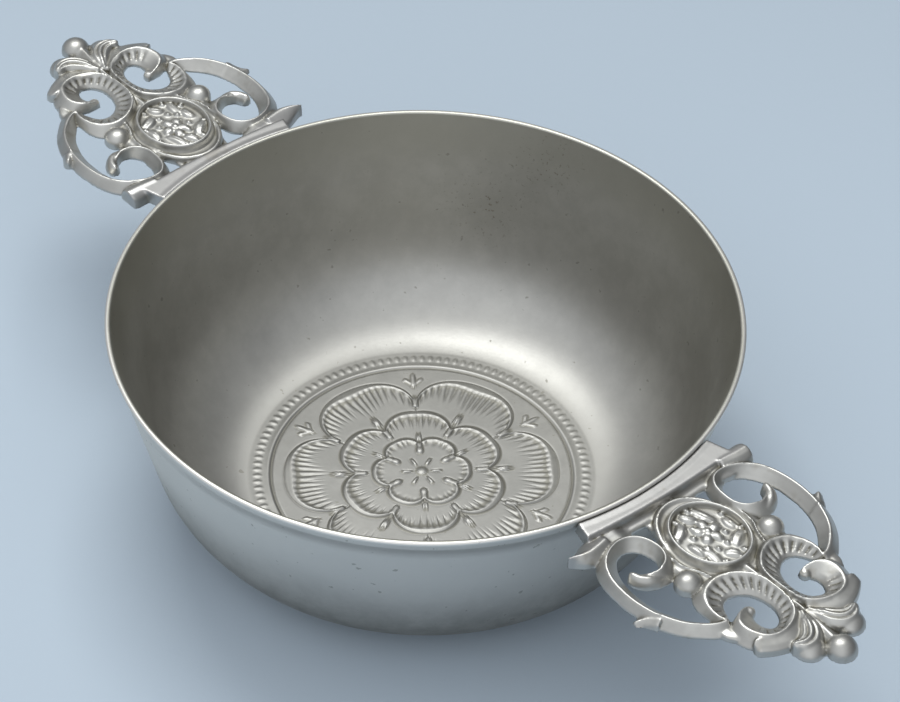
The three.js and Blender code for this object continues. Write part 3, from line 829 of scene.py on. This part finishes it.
class Nodes:
    """A shader node tree that is built one node at a time."""

    def __init__(self, tree):
        self.tree = tree
        tree.nodes.clear()

    def add(self, kind, settings=None, **sockets):
        """A node with its settings, and each socket set to a value or linked to another socket."""
        node = self.tree.nodes.new("ShaderNode" + kind)
        for key, value in (settings or {}).items():
            setattr(node, key, value)
        for key, value in sockets.items():
            self.feed(node, key, value)
        return node

    def out(self, kind, settings=None, **sockets):
        """The first output of such a node."""
        return self.add(kind, settings, **sockets).outputs[0]

    def feed(self, node, key, value):
        """Sets or links a socket, named with _ for a space, or numbered after a _."""
        socket = node.inputs[int(key[1:])] if key[0] == "_" else node.inputs[key.replace("_", " ")]
        if isinstance(value, bpy.types.NodeSocket):
            self.tree.links.new(value, socket)
        else:
            socket.default_value = (*value, 1.0) if socket.type == "RGBA" else value

    def math(self, operation, a, b=0.0, c=0.0):
        return self.out("Math", {"operation": operation}, _0=a, _1=b, _2=c)

    def times(self, a, b):
        return self.math("MULTIPLY", a, b)

    def times_plus(self, a, b, c):
        return self.math("MULTIPLY_ADD", a, b, c)

    def greater(self, a, b):
        return self.math("MAXIMUM", a, b)

    def measure(self, operation, a, b=(0, 0, 0)):
        """A number from vectors: their dot product or distance, or the first one's length."""
        return self.add("VectorMath", {"operation": operation}, _0=a, _1=b).outputs["Value"]

    def window(self, value, low, high, to_low=0.0, to_high=1.0):
        """value between low and high, smoothly taken to between to_low and to_high."""
        return self.out("MapRange", {"interpolation_type": "SMOOTHSTEP"}, Value=value,
                        From_Min=low, From_Max=high, To_Min=to_low, To_Max=to_high)

    def mix(self, share, first, second):
        return self.add("Mix", {"data_type": "RGBA"}, _0=share, _6=first, _7=second).outputs[2]

    def bump(self, height, strength, distance, normal=None):
        over = {} if normal is None else {"Normal": normal}
        return self.out("Bump", Height=height, Strength=strength, Distance=distance, **over)

    def attribute(self, name):
        return self.add("Attribute", {"attribute_name": name}).outputs["Fac"]

    def split(self, vector):
        return self.add("SeparateXYZ", _0=vector).outputs


class Recipe(Nodes):
    """The nodes of a new material, round one shader."""

    def __init__(self, name, **shader):
        self.material = bpy.data.materials.new(name)
        self.material.use_nodes = True
        super().__init__(self.material.node_tree)
        self.shader = self.add("BsdfPrincipled", **shader)
        self.add("OutputMaterial", Surface=self.shader.outputs[0])
        self.place = self.add("TexCoord").outputs["Object"]

    def noise(self, scale, detail=2.0, rough=0.5, vector=None):
        """Noise over the object itself, or over another vector."""
        place = self.place if vector is None else vector
        return self.out("TexNoise", Vector=place, Scale=scale, Detail=detail, Roughness=rough)

    def finish(self, **sockets):
        """Sets or links the shader's sockets, and gives the material."""
        for key, value in sockets.items():
            self.feed(self.shader, key, value)
        return self.material


# Pewter, clean, worn and dirty, and the paper of the floor; the bowl's outside and the paper also carry
# painted shade
EAR_BARE = ((0.42, 0.412, 0.387), (0.51, 0.502, 0.472))
EAR_CREST = (0.66, 0.652, 0.62)
EAR_TARNISH = (0.24, 0.215, 0.165)
EAR_DIRT = (0.14, 0.13, 0.10)
BAR_TOP = (0.42, 0.412, 0.397)
BOWL_BARE = ((0.44, 0.43, 0.405), (0.505, 0.495, 0.465))
FLOOR_BARE = (0.33, 0.323, 0.303)
ROSE_BARE = ((0.275, 0.27, 0.253), (0.325, 0.318, 0.298))
WALL_BARE = ((0.44, 0.432, 0.398), (0.51, 0.502, 0.465))
LIP_BARE = (0.44, 0.43, 0.375)
# The outside, from its foot darkened with painted shade up to its paler top
OUTSIDE_SHADED_FOOT_TO_TOP = ((0.255, 0.248, 0.23), (0.77, 0.75, 0.71))
OUTSIDE_BRIGHT = (0.80, 0.78, 0.735)
BOWL_WORN = (0.42, 0.412, 0.39)
BOWL_DIRT = (0.22, 0.21, 0.175)
BOWL_GRAZING = (0.72, 0.72, 0.70)
PITTED = (0.17, 0.135, 0.09)
# The paper, and the same paper darkened with painted shade towards the back
PAPER = ((0.475, 0.555, 0.632), (0.395, 0.465, 0.532))
PAPER_SHADED_TOWARD = (-0.73, 0.68, 0)

# Pitted places inside the bowl, each [middle, reach] in metres
BLEMISHES = (((-0.0346, 0.0495, 0.0285), 0.016), ((-0.0249, 0.0587, 0.042), 0.013))


def ear_pewter():
    """Bright on its crests, tarnished in patches and dark in its hollows, but plain on the bar."""
    recipe = Recipe("ear_pewter", Metallic=1.0)
    parts = recipe.split(recipe.place)
    cloud = recipe.noise(110.0, 4.0, 0.6)
    far = recipe.attribute("far")
    crest = recipe.window(far, -0.05, -0.35)
    beyond_bar = recipe.window(recipe.math("ABSOLUTE", parts["X"]), 0.0712, 0.0718)
    below_top = recipe.window(parts["Z"], 0.0484, 0.0479)

    deep = recipe.math("ADD", far, recipe.times_plus(cloud, 0.06, -0.03))
    dirt = recipe.greater(recipe.times(recipe.window(deep, 0.0, 0.34), 0.75),
                          recipe.window(recipe.attribute("near"), 0.014, 0.07))
    dirt = recipe.times(dirt, recipe.greater(beyond_bar, below_top))

    skin = recipe.mix(recipe.window(cloud, 0.35, 0.68), *EAR_BARE)
    skin = recipe.mix(recipe.times(crest, 0.35), skin, EAR_CREST)
    skin = recipe.mix(beyond_bar, BAR_TOP, skin)
    tarnish = recipe.window(recipe.noise(150.0, 3.0, 0.6), 0.56, 0.70, 0.0, 0.35)
    skin = recipe.mix(tarnish, skin, EAR_TARNISH)
    skin = recipe.mix(dirt, skin, EAR_DIRT)

    rough = recipe.times_plus(recipe.noise(900.0, 1.0, 0.5), 0.08, 0.35)
    rough = recipe.times_plus(dirt, 0.2, rough)
    rough = recipe.times_plus(crest, -0.05, rough)

    waves = recipe.bump(recipe.noise(260.0, 3.0, 0.55), 0.3, 0.00010)
    grain = recipe.bump(recipe.noise(2200.0, 2.0, 0.5), 0.06, 0.000005, waves)
    return recipe.finish(Base_Color=skin, Roughness=rough, Normal=grain)


def bowl_bare(recipe, parts, radius, up_wall, on_rose, tone):
    """The clean metal: mottled, dull on the floor and the rose, and paler up the outside, with painted shade
    darkening its foot.
    """
    skin = recipe.mix(tone, *BOWL_BARE)
    skin = recipe.mix(recipe.window(radius, 0.052, 0.038, 0.0, 0.78), skin, FLOOR_BARE)
    skin = recipe.mix(up_wall, skin, recipe.mix(tone, *WALL_BARE))
    near_lip = recipe.window(parts["Z"], 0.034, 0.046)
    skin = recipe.mix(recipe.times(near_lip, 0.7), skin, LIP_BARE)
    skin = recipe.mix(on_rose, skin, recipe.mix(tone, *ROSE_BARE))
    # Painted shade: the outside darkens towards its foot, as if shaded where it meets the table
    outer = recipe.mix(recipe.window(parts["Z"], 0.008, 0.036), *OUTSIDE_SHADED_FOOT_TO_TOP)
    outer = recipe.mix(recipe.times(tone, 0.3), outer, OUTSIDE_BRIGHT)
    return recipe.mix(recipe.attribute("outside"), skin, outer)


def bowl_pewter():
    """Turned and mottled, with dirt round the rose's forms, fine pits and two pitted places."""
    recipe = Recipe("bowl_pewter", Metallic=1.0, Specular_Tint=BOWL_GRAZING)
    parts = recipe.split(recipe.place)
    radius = recipe.measure("LENGTH", recipe.out("CombineXYZ", X=parts["X"], Y=parts["Y"]))
    turned = recipe.out("CombineXYZ", X=radius, Z=parts["Z"])
    cloud = recipe.noise(42.0, 5.0, 0.62)
    mottle = recipe.noise(260.0, 4.0, 0.65)
    grain = recipe.noise(1800.0, 3.0, 0.6)
    tone = recipe.times_plus(mottle, 0.4, recipe.times(cloud, 0.6))
    tone = recipe.window(tone, 0.36, 0.66)
    up_wall = recipe.window(parts["Z"], 0.012, 0.030)
    on_rose = recipe.window(radius, 0.0384, 0.0376)
    skin = bowl_bare(recipe, parts, radius, up_wall, on_rose, tone)

    near = recipe.attribute("near")
    deep = recipe.times(recipe.window(recipe.attribute("far"), 0.02, 0.20), 0.6)
    dirt = recipe.times(recipe.greater(recipe.window(near, 0.006, 0.05), deep), 0.6)
    pits = recipe.window(recipe.noise(520.0, 2.0, 0.5), 0.70, 0.76)
    dirt = recipe.greater(recipe.times(dirt, on_rose), recipe.times(pits, 0.5))
    worn = recipe.times(recipe.window(near, -0.01, -0.06, 0.0, 0.6), on_rose)
    skin = recipe.mix(worn, skin, BOWL_WORN)
    skin = recipe.mix(dirt, skin, BOWL_DIRT)
    speck = recipe.window(recipe.noise(1300.0, 2.0, 0.6), 0.61, 0.70)
    for middle, reach in BLEMISHES:
        apart = recipe.measure("DISTANCE", recipe.place, middle)
        stain = recipe.times(recipe.window(apart, reach, 0.0), speck)
        skin = recipe.mix(recipe.times(stain, 0.55), skin, PITTED)

    rough = recipe.times_plus(cloud, 0.16, recipe.times_plus(up_wall, -0.03, 0.31))
    rough = recipe.times_plus(grain, 0.10, rough)
    rough = recipe.times_plus(dirt, 0.2, rough)

    lathe = recipe.bump(recipe.noise(900.0, 4.0, 0.7, turned), 0.25, 0.00002)
    waves = recipe.bump(mottle, 0.25, 0.00005, lathe)
    return recipe.finish(Base_Color=skin, Roughness=rough, Normal=recipe.bump(grain, 0.3, 0.00002, waves))


def floor_paper():
    recipe = Recipe("floor_paper", Roughness=0.75)
    # Painted shade: the paper darkens towards the back of the stage
    darker = recipe.window(recipe.measure("DOT_PRODUCT", recipe.place, PAPER_SHADED_TOWARD), -0.02, 0.25)
    grain = recipe.bump(recipe.noise(700.0), 0.1, 0.0002)
    return recipe.finish(Base_Color=recipe.mix(darker, *PAPER), Normal=grain)


# The pieces

def dress(thing, material, body, node):
    thing.data.materials.append(material)
    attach(thing, body)
    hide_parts(node)


def make_pieces():
    points, faces = make_bowl()
    bowl = make_object("bowl_skin", points, faces)
    mark_hollows(bowl.data, *BOWL_HOLLOWS)
    mark_outside(bowl.data)
    dress(bowl, bowl_pewter(), "root", "bowl")

    material = ear_pewter()
    mesh = make_ear_mesh()
    for name, turn in (("ear_right", 0.0), ("ear_left", math.pi)):
        lip_plane = Matrix.Translation((0, 0, HEIGHT * MM))
        place = Matrix.Rotation(turn, 4, "Z") @ lip_plane @ Matrix.Scale(MM, 4)
        skin = mesh.copy()
        skin.name = name + "_cast"
        skin.transform(place)
        skin.materials.clear()
        skin.shade_smooth()
        mark_hollows(skin, *EAR_HOLLOWS)
        dress(add_object(name + "_cast", skin), material, "root", name)
    bpy.data.meshes.remove(mesh)


# The stage

def make_floor():
    corners = [(x * FLOOR_SIZE, y * FLOOR_SIZE, 0) for x, y in ((-1, -1), (1, -1), (1, 1), (-1, 1))]
    floor = make_object("floor", corners, [(0, 1, 2, 3)], smooth_shading=False)
    floor.data.materials.append(floor_paper())


def make_camera():
    elevation = math.radians(CAMERA_ELEVATION)
    place = Vector((0, -CAMERA_DISTANCE * math.cos(elevation), CAMERA_DISTANCE * math.sin(elevation)))
    forward = -place.normalized()
    right = Vector((1, 0, 0))
    up = right.cross(forward)
    forward = (forward + math.tan(math.radians(CAMERA_YAW)) * right
               + math.tan(math.radians(CAMERA_PITCH)) * up).normalized()
    right = forward.cross(up).normalized()
    up = right.cross(forward)
    c, s = math.cos(math.radians(CAMERA_ROLL)), math.sin(math.radians(CAMERA_ROLL))
    right, up = c * right + s * up, c * up - s * right
    rows = Matrix((right, up, -forward)).transposed().to_4x4()
    rows.translation = place * MM
    turn = Matrix.Rotation(math.radians(90 + CAMERA_TURN), 4, "Z")
    camera = add_object("camera", bpy.data.cameras.new("camera"))
    camera.data.lens = CAMERA_LENS
    camera.data.sensor_width = 36.0
    camera.data.sensor_fit = "HORIZONTAL"
    camera.data.clip_start = 0.01
    camera.matrix_world = Matrix.Translation((0, 0, HEIGHT * MM)) @ turn @ rows
    bpy.context.scene.camera = camera


def area_light(name, azimuth, elevation, distance, size, radiance, tint):
    """A lamp of size (width, height) that faces the bowl, of a given brightness."""
    lamp = bpy.data.lights.new(name, "AREA")
    lamp.shape = "RECTANGLE"
    lamp.size, lamp.size_y = size
    lamp.energy = radiance * math.pi * size[0] * size[1]
    lamp.color = tint
    a, e = math.radians(azimuth), math.radians(elevation)
    place = Vector((math.cos(a) * math.cos(e), math.sin(a) * math.cos(e), math.sin(e))) * distance
    thing = add_object(name, lamp)
    thing.location = place
    thing.rotation_euler = place.to_track_quat("Z", "Y").to_euler()


def make_light():
    """A soft box overhead, behind the bowl and a little to the left, in a room that is brighter
    above and in front and darker on the right."""
    area_light("soft_box", **SOFT_BOX)
    world = bpy.data.worlds.new("room")
    bpy.context.scene.world = world
    world.use_nodes = True
    room = Nodes(world.node_tree)
    place = room.add("TexCoord").outputs["Generated"]

    def toward(bearing, low, high):
        """How far a direction points to a bearing, taken from -1..1 to low..high."""
        dot = room.measure("DOT_PRODUCT", place, (math.cos(bearing), math.sin(bearing), 0))
        return room.out("MapRange", Value=dot, From_Min=-1.0, To_Min=low, To_Max=high)

    def ramp(value, stops):
        node = room.add("ValToRGB", _0=value)
        node.color_ramp.interpolation = "EASE"
        elements = node.color_ramp.elements
        elements[0].position, elements[1].position = stops[0][0], stops[2][0]
        elements.new(stops[1][0])
        for element, (_, shade) in zip(elements, stops):
            element.color = (*np.broadcast_to(shade, 3), 1.0)
        return node.outputs[0]

    level = room.times(ramp(toward(RIGHT, 0.0, 1.0), ROOM_SIDES), toward(FRONT, *BACK_TO_FRONT))
    shade = room.out("Background", Color=ramp(room.split(place)["Z"], ROOM), Strength=level)
    room.add("OutputWorld", Surface=shade)


make_camera()
make_light()
make_floor()
make_pieces()
bpy.context.scene.view_settings.view_transform = "Standard"

bpy.context.view_layer.update()
